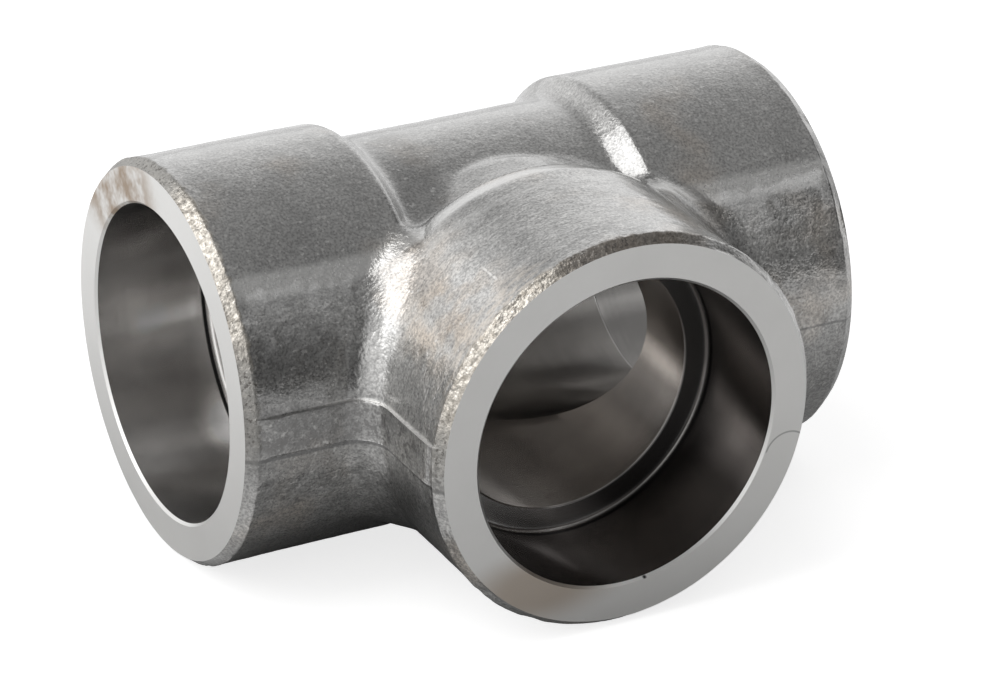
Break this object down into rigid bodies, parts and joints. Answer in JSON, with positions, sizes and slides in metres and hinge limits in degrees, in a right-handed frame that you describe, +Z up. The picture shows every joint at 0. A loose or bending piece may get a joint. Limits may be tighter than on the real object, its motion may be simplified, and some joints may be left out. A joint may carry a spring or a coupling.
{
  "type": "socket weld tee",
  "caption": "Forged steel tee with a straight run and an equal side branch, each end a stepped socket that a pipe slides into before it is welded round the rim.",
  "frame": {"origin": "point where the axis of the run meets the axis of the branch", "axes": "+X along the run towards the right socket, -Y along the branch out of its mouth, +Z up, square to both axes"},
  "size_m": [0.1024, 0.0826, 0.0624],
  "materials": {
    "forged_steel": "shot-blasted forging skin, with turned end faces and sockets"
  },
  "bodies": {
    "root": {"tee_body": "forged_steel"}
  },
  "joints": []
}
